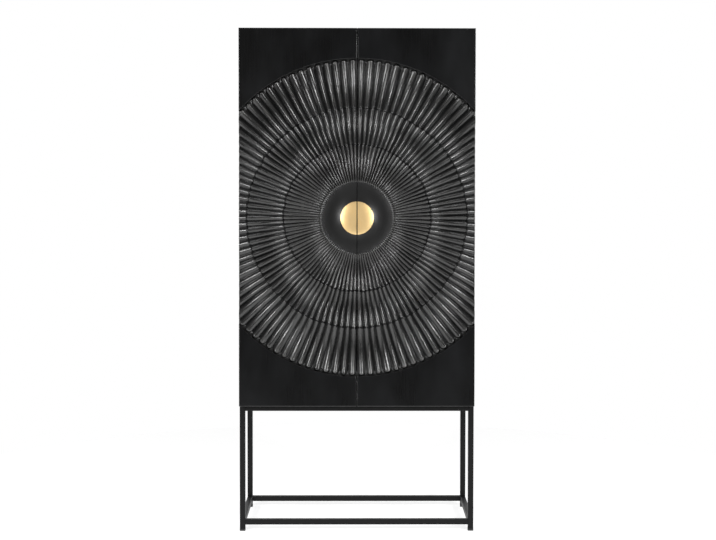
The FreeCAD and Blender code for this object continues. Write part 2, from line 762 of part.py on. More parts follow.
def carving():
    """Everything that is carved out of the right-hand door, from in front of it inward."""
    angles = [math.pi * index / REEDS_PER_DOOR for index in range(REEDS_PER_DOOR + 1)]
    rings = ring_bounds()
    sun_radius = rings[-1][1]
    recess_radius = sun_radius + RECESS_BORDER
    floor_depth = RIDGE_DEPTH + reed_relief(sun_radius)
    cap_depth = -DOOR_THICKNESS

    faces = []
    seam_edges = []
    for inner, outer, reliefs in rings:
        grids = [reed_poles(start, stop, inner, outer, reliefs) for start, stop in zip(angles, angles[1:])]
        faces += [reed_face(grid) for grid in grids]
        seam_edges += [bow(grids[0][0]), bow(grids[-1][2])]

    # Each reed of the last ring ends in an upright face over the flat border
    tips = [[row[2] for row in grid] for grid in grids]
    tip_lines = [Part.makeLine(tip[0], tip[2]) for tip in tips]
    faces += [flat_face([bow(tip), line]) for tip, line in zip(tips, tip_lines)]
    border_arc = rim_arc(recess_radius, floor_depth)
    border_seams = seam_lines(sun_radius, floor_depth, recess_radius, floor_depth)
    faces.append(flat_face([border_arc] + border_seams + tip_lines))

    boss = [sun_point(BOSS_RADIUS, angle, RIDGE_DEPTH) for angle in angles]
    boss_edges = [Part.makeLine(first, last) for first, last in zip(boss, boss[1:])]
    boss_seam = Part.makeLine(boss[-1], boss[0])
    faces.append(flat_face(boss_edges + [boss_seam]))

    faces.append(border_arc.extrude(FORWARD * (floor_depth - cap_depth)))
    cap_arc = rim_arc(recess_radius, cap_depth)
    cap_seam = Part.makeLine(cap_arc.lastVertex().Point, cap_arc.firstVertex().Point)
    faces.append(flat_face([cap_arc, cap_seam]))
    wall_seams = seam_lines(recess_radius, floor_depth, recess_radius, cap_depth)
    faces.append(flat_face(seam_edges + [boss_seam, cap_seam] + border_seams + wall_seams))

    shell = Part.makeShell(faces)
    shell.sewShape()
    solid = Part.makeSolid(shell)
    if solid.Volume < 0:
        solid.reverse()
    return solid


# Doors and pull

def post_centres():
    """Right-hand posts of the pull on the face of the boss."""
    reach = HANDLE_RADIUS - POST_RIM_INSET
    angle = math.radians(POST_ANGLE_DEGREES)
    x = reach * math.cos(angle)
    return [Vector(x, DOOR_FRONT + RIDGE_DEPTH, SUN_HEIGHT + offset)
            for offset in spread(2, 2 * reach * math.sin(angle))]


def handle_screws(clearance=0.0):
    """Right-hand screws from the back of the door into the posts, or their holes."""
    seat_y = DOOR_BACK - HANDLE_SCREW_HEAD_HEIGHT
    length = seat_y - DOOR_FRONT - RIDGE_DEPTH + HANDLE_SCREW_BITE
    shapes = []
    for centre in post_centres():
        seat = Vector(centre.x, seat_y, centre.z)
        shapes.append(pan_screw(HANDLE_SCREW_HEAD, HANDLE_SCREW_HEAD_HEIGHT, HANDLE_SCREW_SHANK,
                                length, seat, FORWARD, clearance))
    return shapes


def handle():
    """Right-hand half of the domed disc with its two posts."""
    back = DOOR_FRONT - HANDLE_STANDOFF
    crown = back - HANDLE_EDGE - HANDLE_DOME
    dome_radius = (HANDLE_RADIUS ** 2 + HANDLE_DOME ** 2) / (2 * HANDLE_DOME)
    disc = Part.makeCylinder(HANDLE_RADIUS, back - crown, Vector(0, crown, SUN_HEIGHT), REARWARD)
    dome = Part.makeSphere(dome_radius, Vector(0, crown + dome_radius, SUN_HEIGHT))
    right_half = block(DOOR_SEAM / 2, HANDLE_RADIUS, crown, back,
                       SUN_HEIGHT - HANDLE_RADIUS, SUN_HEIGHT + HANDLE_RADIUS)
    plate = disc.common(dome).common(right_half)
    posts = [Part.makeCylinder(POST_RADIUS, RIDGE_DEPTH + HANDLE_STANDOFF, centre, FORWARD)
             for centre in post_centres()]
    return plate.fuse(posts).removeSplitter().cut(handle_screws(HOLE_CLEARANCE))


def door_panel():
    """Right-hand door with its carving, screw holes and hinge notches."""
    panel = block(DOOR_SEAM / 2, DOOR_SIDE, DOOR_FRONT, DOOR_BACK, DOOR_BOTTOM, DOOR_TOP)
    cuts = hinge_notches() + door_hinge_screws(HOLE_CLEARANCE)
    cuts += handle_screws(HOLE_CLEARANCE) + strike_screws(HOLE_CLEARANCE)
    return panel.cut([carving()]).cut(cuts)


def pair(name, shape):
    """A right-hand node and its mirrored left-hand one."""
    return {"right_" + name: shape, "left_" + name: mirrored(shape)}


def build():
    """Every sub-part by its node name."""
    front_rail, rear_rail = [bottle_rail(front) for front in bottle_rail_fronts()]
    nodes = stand_tubes()
    nodes["floor_glides"] = floor_glides()
    nodes["stand_tabs"] = stand_tabs()
    nodes["stand_screws"] = group([stand_screw(seat) for seat in stand_screw_seats()])
    nodes.update(pair("side_panel", side_panel()))
    nodes["top_panel"] = top_panel()
    nodes["bottom_panel"] = bottom_panel()
    nodes["back_panel"] = back_panel()
    nodes["back_panel_screws"] = group(back_screws())
    nodes["case_dowels"] = group(both_sides(dowels()))
    nodes["fixed_shelf"] = fixed_shelf()
    nodes["upper_shelf"] = upper_shelf()
    nodes["lower_shelf"] = loose_shelf(LOWER_SHELF_BOTTOM)
    nodes["shelf_pins"] = shelf_pins()
    nodes["stemware_rails"] = stemware_rails()
    nodes["stemware_screws"] = group(stemware_screws())
    nodes["front_bottle_rail"] = front_rail
    nodes["rear_bottle_rail"] = rear_rail
    nodes["bottle_rail_screws"] = group(bottle_rail_screws())
    nodes["catch_housings"] = catch_housings()
    nodes["catch_magnets"] = catch_magnets()
    nodes["catch_screws"] = group(catch_screws())
    nodes["door_bumpers"] = door_bumpers()
    nodes.update(pair("case_hinge_leaves", group(case_hinge_leaves())))
    nodes["case_hinge_screws"] = group(both_sides(case_hinge_screws()))
    nodes.update(pair("hinge_pins", group(hinge_pins())))
    nodes.update(pair("door_panel", door_panel()))
    nodes.update(pair("door_hinge_leaves", group(door_hinge_leaves())))
    nodes.update(pair("door_hinge_screws", group(door_hinge_screws())))
    nodes.update(pair("handle", handle()))
    nodes.update(pair("handle_screws", group(handle_screws())))
    nodes.update(pair("strike_plates", group(strike_plates())))
    nodes.update(pair("strike_screws", group(strike_screws())))
    return nodes


os.makedirs("parts", exist_ok=True)
for node, shape in build().items():
    shape.exportStep("parts/" + node + ".step")
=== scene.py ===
"""Bar armoire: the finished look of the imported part, in a plain white studio.

Metres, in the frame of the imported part: +Z is up and the front faces -Y. The carved doors, the pull,
the stand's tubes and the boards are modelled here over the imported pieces; the small fittings keep
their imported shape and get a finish.
"""
import json
import math

import bmesh
import bpy
import numpy as np
from mathutils import Matrix, Vector


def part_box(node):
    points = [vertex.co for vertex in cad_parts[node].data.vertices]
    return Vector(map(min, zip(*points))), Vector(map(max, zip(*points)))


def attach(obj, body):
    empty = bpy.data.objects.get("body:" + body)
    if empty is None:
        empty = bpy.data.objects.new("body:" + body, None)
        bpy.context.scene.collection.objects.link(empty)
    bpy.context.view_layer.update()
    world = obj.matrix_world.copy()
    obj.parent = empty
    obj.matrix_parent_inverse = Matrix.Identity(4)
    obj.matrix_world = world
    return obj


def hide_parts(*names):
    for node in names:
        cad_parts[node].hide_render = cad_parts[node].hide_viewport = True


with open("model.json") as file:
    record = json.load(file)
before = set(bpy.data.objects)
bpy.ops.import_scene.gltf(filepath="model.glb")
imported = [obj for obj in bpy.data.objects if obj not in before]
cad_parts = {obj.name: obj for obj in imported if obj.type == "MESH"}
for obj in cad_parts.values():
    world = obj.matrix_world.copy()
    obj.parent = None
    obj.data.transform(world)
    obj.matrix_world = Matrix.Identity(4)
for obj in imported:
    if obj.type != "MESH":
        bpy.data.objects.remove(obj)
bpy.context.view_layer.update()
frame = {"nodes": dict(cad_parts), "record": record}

MM = 0.001

# Carved sunburst: the part's boss, dish and three rings of reeds, with deeper coves and a shallower dish
BOSS_RADIUS = 60 * MM
RING_EDGES = [BOSS_RADIUS, 140 * MM, 280 * MM, 420 * MM, 595 * MM]
RECESS_RADIUS = 606 * MM
REEDS_PER_DOOR = 55
FLANK_SLOPE = math.radians(45)
CROWN_ROUNDING = 0.5
RIDGE_DEPTH = 1 * MM
COVE_DEPTH = 12 * MM
DISH_DEPTH = 6 * MM
DISH_FLUTING = 0.3

# Hand-carving: how much one reed differs from the next
REED_DEPTH_SPREAD = 0.14
RIDGE_WANDER = 2.4 * MM
WEAR_SPREAD = 0.14
GROOVE_WANDER = 0.07

# Beaded lip round the dish, notched between its beads
LIP_HEIGHT = 1.6 * MM
LIP_RADIUS = 142 * MM
LIP_WIDTH = 3.2 * MM
LIP_NOTCH = 0.8

# Where rings meet: the inner two deepen outward to a step, and the reeds have rounded ends
RING_STEP = 3.0 * MM
STEP_RUN = 0.5 * MM
END_DROP = 3.0 * MM
END_ROUNDING = 4.5 * MM
END_SCALLOP = 2.5 * MM

# Rounded tips of the outer reeds
TIP_RADIUS = 603 * MM
TIP_ROUNDING = 11 * MM
TIP_SHOULDER = 6 * MM

# Crest: where the finish is rubbed light, about 1 on a reed's crown and 0 in a groove; it also carries
# painted shade at the reeds' rounded ends and painted highlights near the outer tips and on the lip's beads
BOSS_CREST = 0.4
DISH_CREST = 0.53
DISH_CREST_DIP = 0.03
PAINTED_END_SHADE = 0.6
PAINTED_TIP_HIGHLIGHT = 0.3
PAINTED_TIP_HIGHLIGHT_INSET = 9 * MM
PAINTED_TIP_HIGHLIGHT_SPREAD = 6 * MM
PAINTED_LIP_HIGHLIGHT = 1.5

# Mesh density of the carving
COLUMNS_PER_REED = 12
MIDDLE_ROWS = [8, 10, 10, 12]
END_ROWS = [0, 1 * MM, 2 * MM, 3.2 * MM, 4.6 * MM, 6.5 * MM]
TIP_ROWS = 14
TIP_LEAD = 2 * MM
CENTRE_RADIUS = 1 * MM

# Eased edges: their widths, and where a door's edge is cut to round it, in shares of its width
DOOR_EDGE = 2.0 * MM
DOOR_EDGE_CUTS = (0.08, 0.3, 0.6, 1.0)
RECESS_EDGE = 1.2 * MM
BOARD_EDGE = 1.0 * MM
SMALLEST_EASED = 2.5 * MM
TUBE_CORNER = 2.2 * MM

# Brass pull
PULL_STANDOFF = 12 * MM
PULL_RIM = 2.2 * MM
PULL_EDGE = 0.5 * MM
PULL_DOME_POWER = 3.6
PULL_SEAM = 0.7 * MM
PULL_RINGS = 28
PULL_TURNS = 96
POST_RADIUS = 6 * MM
SCREW_SEAT_RADIUS = 4.6 * MM
SCREW_SEAT_DEPTH = 3.1 * MM

# Hinges: the barrels lie half in notches in the back of each door
HINGES_PER_DOOR = 3
HINGE_LENGTH = 76 * MM
NOTCH_RADIUS = 3.7 * MM
NOTCH_END = 1.7 * MM

# Camera, fitted to the photograph's frame
IMAGE_WIDTH = 716
FOCAL_PIXELS = 1428.8
SHIFT_PIXELS = (9.0, -48.7)
SENSOR_MM = 36.0
CAMERA_PLACE = (-0.0114, -5.6506, 1.3651)
CAMERA_YAW = -0.00908
CAMERA_PITCH = -0.03133
CAMERA_ROLL = -0.00144

# Studio light: fill from all round, and for gloss a dim room in front that turns into a white backdrop
# between two directions, each given as how far back it points, from -1 to 1
FILL_LEVEL = 0.2
ROOM_LEVEL = 0.15
ROOM_EDGE = -0.1
BACKDROP_EDGE = 0.3
FLOOR_RADIUS = 2.2
FLOOR_GLOW = 0.74
SIDE_BOX_OUT = 1.75
SIDE_BOX_AHEAD = 2.3
SIDE_BOX_UP = 1.5
SIDE_BOX_SIZE = (0.5, 1.0)
SIDE_BOX_POWER = 40
TOP_BOX_AHEAD = 1.7
TOP_BOX_UP = 3.5
TOP_BOX_SIZE = (1.5, 0.4)
TOP_BOX_POWER = 8

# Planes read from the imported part
DOOR_LOW, DOOR_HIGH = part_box("right_door_panel")
DOOR_FRONT = DOOR_LOW.y
DOOR_BACK = DOOR_HIGH.y
SUN_Z = (DOOR_LOW.z + DOOR_HIGH.z) / 2


# Node helpers

def put(tree, socket, value):
    """Links a node's output to a socket, or sets the socket's own value."""
    if isinstance(value, bpy.types.NodeSocket):
        tree.links.new(value, socket)
    else:
        socket.default_value = value


def place(tree, kind, **inputs):
    """New shader node with its inputs set or linked, each named with _ for a space."""
    made = tree.nodes.new(kind)
    feed(tree, made, **inputs)
    return made


def calc(tree, operation, *values):
    """Output of a math node."""
    made = tree.nodes.new("ShaderNodeMath")
    made.operation = operation
    for socket, value in zip(made.inputs, values):
        put(tree, socket, value)
    return made.outputs[0]


def remap(tree, value, from_low, from_high, to_low, to_high):
    """Value moved from one range to another, held at its ends."""
    made = place(tree, "ShaderNodeMapRange", Value=value, From_Min=from_low, From_Max=from_high,
                 To_Min=to_low, To_Max=to_high)
    return made.outputs[0]


def blend_colours(tree, factor, first, second):
    """First colour at factor 0, second at 1."""
    made = tree.nodes.new("ShaderNodeMix")
    made.data_type = "RGBA"
    put(tree, made.inputs[0], factor)
    for index, colour in ((6, first), (7, second)):
        if isinstance(colour, tuple):
            colour = (*colour, 1)
        put(tree, made.inputs[index], colour)
    return made.outputs[2]


def pick(tree, switch, off, on):
    """Off value where the switch is 0, on value where it is 1."""
    made = tree.nodes.new("ShaderNodeMix")
    for index, value in ((0, switch), (2, off), (3, on)):
        put(tree, made.inputs[index], value)
    return made.outputs[0]


def stretched(tree, scale):
    """Object coordinates, in metres, times a scale along each axis."""
    coords = tree.nodes.new("ShaderNodeTexCoord")
    return place(tree, "ShaderNodeMapping", Vector=coords.outputs["Object"], Scale=scale).outputs[0]


def noise(tree, scale, detail=3.0, roughness=0.55, distortion=0.0):
    """Noise value with its own scale along each axis, in cycles per metre."""
    made = place(tree, "ShaderNodeTexNoise", Vector=stretched(tree, scale), Scale=1.0, Detail=detail,
                 Roughness=roughness, Distortion=distortion)
    return made.outputs[0]


def bump(tree, height, distance, normal=None):
    """Normal raised by a height map, over another normal if one is given."""
    made = place(tree, "ShaderNodeBump", Height=height, Distance=distance)
    if normal is not None:
        tree.links.new(normal, made.inputs["Normal"])
    return made.outputs[0]


def material(name):
    """New material, its node tree and its shader."""
    made = bpy.data.materials.new(name)
    made.use_nodes = True
    return made, made.node_tree, made.node_tree.nodes["Principled BSDF"]


def feed(tree, node, **inputs):
    """Sets or links a node's sockets, each named with _ for a space."""
    for name, value in inputs.items():
        put(tree, node.inputs[name.replace("_", " ")], value)


# Finishes

def carved_wood():
    """Satin black stain on carved wood, with gouge marks, crowns rubbed light along the reeds, and painted
    shade and highlights at reed ends, tips and lip.
    """
    made, tree, shader = material("carved_black_wood")
    spot = tree.nodes.new("ShaderNodeAttribute")
    spot.attribute_name = "carve"
    turn, reach, crest = place(tree, "ShaderNodeSeparateXYZ", Vector=spot.outputs["Vector"]).outputs

    def along_reeds(across_scale, along_scale, detail):
        """Noise with one scale across the reeds, per reed, and one along them, per metre."""
        vector = place(tree, "ShaderNodeCombineXYZ", X=calc(tree, "MULTIPLY", turn, across_scale),
                       Y=calc(tree, "MULTIPLY", reach, along_scale)).outputs[0]
        made_noise = place(tree, "ShaderNodeTexNoise", Vector=vector, Scale=1.0, Detail=detail,
                           Roughness=0.6)
        return made_noise.outputs[0]

    # 0 in the dish and 1 on the rings of reeds
    ringed = remap(tree, reach, 0.134, 0.146, 0, 1)
    streak = pick(tree, ringed, 0.5, along_reeds(5.0, 16, 4))
    gouge = along_reeds(1.1, 210, 2)
    pores = noise(tree, (1500, 1500, 45), 2, 0.5)
    cloud = noise(tree, (7, 7, 3), 3, 0.6)

    crown = place(tree, "ShaderNodeMapRange", Value=crest, From_Min=0.62, From_Max=0.96)
    crown.clamp = False
    crown = calc(tree, "MAXIMUM", crown.outputs[0], 0)
    # Lighter colour of the rubbed crowns, together with the crest's painted shade and painted highlights
    wear_and_painted_light = calc(tree, "MULTIPLY", crown, remap(tree, streak, 0.38, 0.66, 0.0, 1))
    wear_and_painted_light = calc(tree, "MULTIPLY", wear_and_painted_light, remap(tree, reach, 0.14, 0.40, 1.2, 0.75))
    patchy = remap(tree, cloud, 0.3, 0.7, 0, 1)
    stain = blend_colours(tree, patchy, (0.003, 0.003, 0.003), (0.006, 0.006, 0.006))
    stain = blend_colours(tree, wear_and_painted_light, stain, (0.045, 0.044, 0.042))

    rough = calc(tree, "ADD", remap(tree, cloud, 0.3, 0.7, 0.22, 0.28), calc(tree, "MULTIPLY", wear_and_painted_light, 0.08))
    rough = calc(tree, "ADD", rough, remap(tree, reach, 0.12, 0.145, 0.06, 0))
    normal = bump(tree, pores, 0.02 * MM)
    normal = bump(tree, streak, 0.45 * MM, normal)
    normal = bump(tree, calc(tree, "MULTIPLY", gouge, crest), 0.12 * MM, normal)
    feed(tree, shader, Base_Color=stain, Roughness=rough, Normal=normal, Specular_IOR_Level=0.82)
    return made


def smooth_wood(name, spread):
    """Satin black stain on smooth boards with a faint grain, a blotchy gloss, and random blotches lightened
    to bluish grey as a painted sheen.
    """
    made, tree, shader = material(name)
    grain = noise(tree, (240, 240, 7), 4, 0.6)
    pores = noise(tree, (1300, 1300, 40), 2, 0.5)
    cloud = noise(tree, (5, 5, 2.5), 3, 0.6)
    grained = remap(tree, grain, 0.3, 0.75, 0, 1)
    stain = blend_colours(tree, grained, (0.0026, 0.0026, 0.0027), (0.0040, 0.0040, 0.0040))
    # Random blotches lightened to bluish grey as a painted sheen; spread sets how strong it is
    stain = blend_colours(tree, remap(tree, cloud, 0.35, 0.7, 0, spread), stain, (0.0095, 0.0100, 0.0110))
    rough = remap(tree, grain, 0.3, 0.7, 0.27, 0.33)
    rough = calc(tree, "ADD", rough, remap(tree, cloud, 0.3, 0.7, -0.04, 0.06))
    normal = bump(tree, grain, 0.02 * MM, bump(tree, pores, 0.008 * MM))
    feed(tree, shader, Base_Color=stain, Roughness=rough, Normal=normal, Specular_IOR_Level=0.2)
    return made


def powder_coat():
    """Black powder coat on iron tube: fine orange-peel texture."""
    made, tree, shader = material("black_iron")
    peel = noise(tree, (900, 900, 900), 2, 0.5)
    cloud = noise(tree, (14, 14, 14), 3, 0.6)
    patchy = remap(tree, cloud, 0.3, 0.7, 0, 1)
    coat = blend_colours(tree, patchy, (0.0028, 0.0028, 0.0030), (0.0052, 0.0052, 0.0054))
    feed(tree, shader, Base_Color=coat, Roughness=remap(tree, cloud, 0.3, 0.7, 0.42, 0.5),
         Normal=bump(tree, peel, 0.02 * MM), Specular_IOR_Level=0.24)
    return made


def brushed_brass():
    """Satin brass, brushed up and down, with a little age."""
    made, tree, shader = material("brass")
    lines = noise(tree, (2600, 2600, 40), 3, 0.6)
    cloud = noise(tree, (45, 45, 30), 4, 0.65)
    tone = blend_colours(tree, remap(tree, cloud, 0.3, 0.75, 0, 1), (0.96, 0.70, 0.35), (0.90, 0.63, 0.29))
    tone = blend_colours(tree, remap(tree, lines, 0.55, 0.8, 0, 0.2), tone, (0.70, 0.46, 0.20))
    rough = remap(tree, lines, 0.3, 0.7, 0.43, 0.50)
    rough = calc(tree, "ADD", rough, remap(tree, cloud, 0.3, 0.7, -0.03, 0.03))
    feed(tree, shader, Base_Color=tone, Roughness=rough, Normal=bump(tree, lines, 0.006 * MM), Metallic=1.0)
    return made


def plated(name, dark, light, rough, metallic):
    """Plated or blackened fitting with a mottled tone."""
    made, tree, shader = material(name)
    cloud = noise(tree, (300, 300, 300), 3, 0.6)
    fine = noise(tree, (2200, 2200, 2200), 2, 0.5)
    tone = blend_colours(tree, remap(tree, cloud, 0.3, 0.7, 0, 1), dark, light)
    feed(tree, shader, Base_Color=tone, Roughness=remap(tree, cloud, 0.3, 0.7, rough - 0.06, rough + 0.06),
         Normal=bump(tree, fine, 0.01 * MM), Metallic=metallic)
    return made


def bare_beech():
    """Bare turned beech of the dowels."""
    made, tree, shader = material("plain_wood")
    grain = noise(tree, (60, 900, 900), 4, 0.6)
    tone = blend_colours(tree, remap(tree, grain, 0.3, 0.7, 0, 1), (0.66, 0.49, 0.31), (0.48, 0.33, 0.19))
    feed(tree, shader, Base_Color=tone, Roughness=remap(tree, grain, 0.3, 0.7, 0.6, 0.75),
         Normal=bump(tree, grain, 0.05 * MM))
    return made


def moulded(name, dark, light, rough, grit):
    """Moulded plastic or rubber with a fine grit."""
    made, tree, shader = material(name)
    speck = noise(tree, (grit, grit, grit), 2, 0.5)
    tone = blend_colours(tree, remap(tree, speck, 0.3, 0.7, 0, 1), dark, light)
    feed(tree, shader, Base_Color=tone, Roughness=remap(tree, speck, 0.3, 0.7, rough - 0.05, rough + 0.05),
         Normal=bump(tree, speck, 0.03 * MM))
    return made


FINISHES = {
    "carved_black_wood": carved_wood(),
    "black_wood": smooth_wood("black_wood", 0.4),
    "black_iron": powder_coat(),
    "brass": brushed_brass(),
    "dark_steel": plated("dark_steel", (0.02, 0.02, 0.021), (0.045, 0.044, 0.043), 0.4, 0.8),
    "steel": plated("steel", (0.5, 0.5, 0.5), (0.64, 0.64, 0.63), 0.32, 1.0),
    "plain_wood": bare_beech(),
    "black_plastic": moulded("black_plastic", (0.012, 0.012, 0.012), (0.022, 0.022, 0.022), 0.5, 1600),
    "black_rubber": moulded("black_rubber", (0.012, 0.012, 0.012), (0.02, 0.02, 0.02), 0.8, 900),
}
# The door fields get the painted sheen twice as strongly as the boards
DOOR_FIELD = smooth_wood("door_field", 0.8)
SLOT_OF = {row["node"]: row["material_slot"] for row in frame["record"]["subparts"]}
BODY_OF = {node: body for body, nodes in frame["record"]["behaviour"]["bodies"].items() for node in nodes}


# Piece helpers

def finish_piece(name, mesh, node):
    """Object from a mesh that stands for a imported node, with that node's finish and body."""
    piece = bpy.data.objects.new(name, mesh)
    bpy.context.scene.collection.objects.link(piece)
    mesh.materials.append(FINISHES[SLOT_OF[node]])
    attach(piece, BODY_OF[node])
    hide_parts(node)
    return piece


def smooth_shaded(mesh, angle):
    """Smooth shading with creases at edges sharper than an angle."""
    mesh.shade_smooth()
    mesh.set_sharp_from_angle(angle=math.radians(angle))


def keep_flat(piece, verts=None):
    """Keeps wide flat faces evenly lit beside their eased edges, at some vertices or at all."""
    even = piece.modifiers.new("flat_faces", "WEIGHTED_NORMAL")
    even.mode = "FACE_AREA"
    even.weight = 100
    even.keep_sharp = True
    if verts is not None:
        piece.vertex_groups.new(name="flat").add(verts, 1.0, "REPLACE")
        even.vertex_group = "flat"


def cut_out(piece, shape):
    """Cuts a closed shape out of a piece's mesh."""
    mesh = bpy.data.meshes.new("cutter")
    shape.to_mesh(mesh)
    shape.free()
    cutter = bpy.data.objects.new("cutter", mesh)
    bpy.context.scene.collection.objects.link(cutter)
    cut = piece.modifiers.new("cut", "BOOLEAN")
    cut.operation = "DIFFERENCE"
    cut.solver = "EXACT"
    cut.object = cutter
    graph = bpy.context.evaluated_depsgraph_get()
    result = bpy.data.meshes.new_from_object(piece.evaluated_get(graph), depsgraph=graph)
    piece.modifiers.remove(cut)
    piece.data = result
    bpy.data.objects.remove(cutter)


def mirror(shape):
    """Turns a right-hand shape into a left-hand one."""
    for vert in shape.verts:
        vert.co.x = -vert.co.x
    bmesh.ops.reverse_faces(shape, faces=shape.faces)


# Carved doors

def row_offsets(ring):
    """Distances of a ring's rows from its inner edge, closer together towards its ends.

    The dish leaves its last row to the ring round it, the two inner rings stop a step's run short of the
    next ring, and the outer ring runs on to the tips of its reeds.
    """
    width = RING_EDGES[ring + 1] - RING_EDGES[ring]
    low = np.array(END_ROWS)
    high = width - low[::-1]
    if ring == len(MIDDLE_ROWS) - 1:
        tip = TIP_RADIUS - RING_EDGES[ring]
        high = np.linspace(tip - TIP_ROUNDING - TIP_SHOULDER - TIP_LEAD, tip, TIP_ROWS)
    middle = np.linspace(low[-1], high[0], MIDDLE_ROWS[ring] + 2)[1:-1]
    rows = np.concatenate([low, middle, high])
    if ring == 0:
        return rows[:-1]
    if ring < len(MIDDLE_ROWS) - 1:
        rows[-1] = width - STEP_RUN
    return rows


def distance_to_end(ring, offset):
    """Distance of a row from the nearer rounded end of its reeds.

    The inner ring's reeds are rounded at their outer end and the outer ring's at their inner end.
    """
    left = RING_EDGES[ring + 1] - RING_EDGES[ring] - offset
    if ring == 1:
        return left
    if ring == len(MIDDLE_ROWS) - 1:
        return offset
    return min(offset, left)


def carving(rng):
    """Carved half sun, right of the seam: vertex places, and for each its turn, reach and crest.

    Columns run clockwise from straight up to straight down, rows run outward. Each reed is a crown
    between two grooves, and each ring is a hollow cove.
    """
    columns = REEDS_PER_DOOR * COLUMNS_PER_REED
    turn = np.arange(columns + 1) / COLUMNS_PER_REED
    reed = np.minimum(turn.astype(int), REEDS_PER_DOOR - 1)
    within = turn - reed
    across = (2 * within - 1) ** 2

    def per_reed(spread):
        """One random value per reed, meeting its neighbours half way in the grooves."""
        own = rng.uniform(-spread, spread, REEDS_PER_DOOR)
        before = np.concatenate([own[:1], own[:-1]])
        after = np.concatenate([own[1:], own[-1:]])
        side = np.where(within < 0.5, (own + before)[reed] / 2, (own + after)[reed] / 2)
        return own[reed] * (1 - across) + side * across

    def per_groove(spread):
        """One random value per groove, none at the seam, running evenly across the reeds."""
        own = rng.uniform(-spread, spread, REEDS_PER_DOOR + 1)
        own[0] = own[-1] = 0
        return own[reed] * (1 - within) + own[reed + 1] * within

    last = len(MIDDLE_ROWS) - 1
    floor_depth = RIDGE_DEPTH + reed_section(1) * half_reed(RING_EDGES[-1])
    flat = np.zeros(columns + 1)
    rows = [(flat + CENTRE_RADIUS, turn, flat + RIDGE_DEPTH, flat + BOSS_CREST),
            (flat + BOSS_RADIUS / 2, turn, flat + RIDGE_DEPTH, flat + BOSS_CREST)]
    twists = [per_groove(GROOVE_WANDER) for _ in MIDDLE_ROWS]
    wanders = [flat, flat] + [per_reed(RIDGE_WANDER) for _ in MIDDLE_ROWS[1:]]
    for ring in range(last + 1):
        inner = RING_EDGES[ring]
        width = RING_EDGES[ring + 1] - inner
        depth_factor = 1 + per_reed(REED_DEPTH_SPREAD)
        wear_factor = 1 + per_reed(WEAR_SPREAD)
        for offset in row_offsets(ring):
            radius = inner + offset
            share = min(1.0, offset / width)
            wander = wanders[ring] * (1 - share) + wanders[ring + 1] * share
            if ring == 0:
                groove = DISH_FLUTING * half_reed(RING_EDGES[1]) * share ** 4
                hollow = DISH_DEPTH
            else:
                groove = half_reed(radius)
                hollow = COVE_DEPTH
            cove = hollow * (1 - (2 * share - 1) ** 2)
            depth = RIDGE_DEPTH + cove + groove * reed_section(across) * depth_factor
            if 0 < ring < last:
                depth = depth + RING_STEP * share ** 2
            if ring == last:
                start = TIP_RADIUS - TIP_SHOULDER - TIP_ROUNDING * across
                gone = np.clip((radius + wander - start) / TIP_SHOULDER, 0, 1)
                depth = depth + (floor_depth - depth) * (1 - np.sqrt(1 - gone ** 2))
            if ring > 0:
                to_end = distance_to_end(ring, offset)
                ending = np.clip(1 - (to_end - END_SCALLOP * across) / END_ROUNDING, 0, 1)
                depth = depth + END_DROP * (1 - np.sqrt(1 - ending ** 2))
            lip = max(0.0, 1 - ((radius - LIP_RADIUS) / LIP_WIDTH) ** 2)
            depth = depth - LIP_HEIGHT * lip * (1 - LIP_NOTCH * across)
            if ring == 0:
                crest = DISH_CREST - DISH_CREST_DIP * across * share ** 2
            else:
                # Crowns rubbed light, darkened towards each reed's rounded end as painted shade
                crest = (1 - across) * wear_factor * (1 - PAINTED_END_SHADE * ending)
            if ring == last:
                # Near the outer tips the crowns are lightened as a painted highlight
                near_tip = hump(TIP_RADIUS - radius, PAINTED_TIP_HIGHLIGHT_INSET, PAINTED_TIP_HIGHLIGHT_SPREAD)
                crest = (crest + PAINTED_TIP_HIGHLIGHT * (1 - across) * near_tip) * (1 - gone)
            # The lip's beads are lightened as a painted highlight
            crest = crest + PAINTED_LIP_HIGHLIGHT * lip * (1 - across)
            rows.append((radius + wander, turn + twists[ring], depth, crest))

    # Border floor, upright wall and eased rim of the recess
    bend = 0.3 * RECESS_EDGE
    for outset, depth in ((0, floor_depth), (0, RECESS_EDGE), (bend, bend), (RECESS_EDGE, 0)):
        rows.append((flat + RECESS_RADIUS + outset, turn, flat + depth, flat))

    radii, turns, depths, crests = (np.array(values) for values in zip(*rows))
    angles = math.pi * turns / REEDS_PER_DOOR
    points = np.stack([radii * np.sin(angles), DOOR_FRONT + depths, SUN_Z + radii * np.cos(angles)], axis=-1)

    # The finish counts reeds from its own start on each door, so that their streaks differ
    counted = np.broadcast_to(turn, radii.shape) + rng.integers(100, 1000)
    marks = np.stack([counted, radii, crests], axis=-1)
    return points, marks


def hump(value, middle, spread):
    """Bell curve, 1 at its middle."""
    return math.exp(-((value - middle) / spread) ** 2)


def reed_section(across):
    """Depth across a reed, in half reeds: 0 on the round crown, growing down its straighter flanks."""
    return math.tan(FLANK_SLOPE) * (np.sqrt(across + CROWN_ROUNDING ** 2) - CROWN_ROUNDING)


def half_reed(radius):
    """Half the width of a reed."""
    return math.pi * radius / REEDS_PER_DOOR / 2


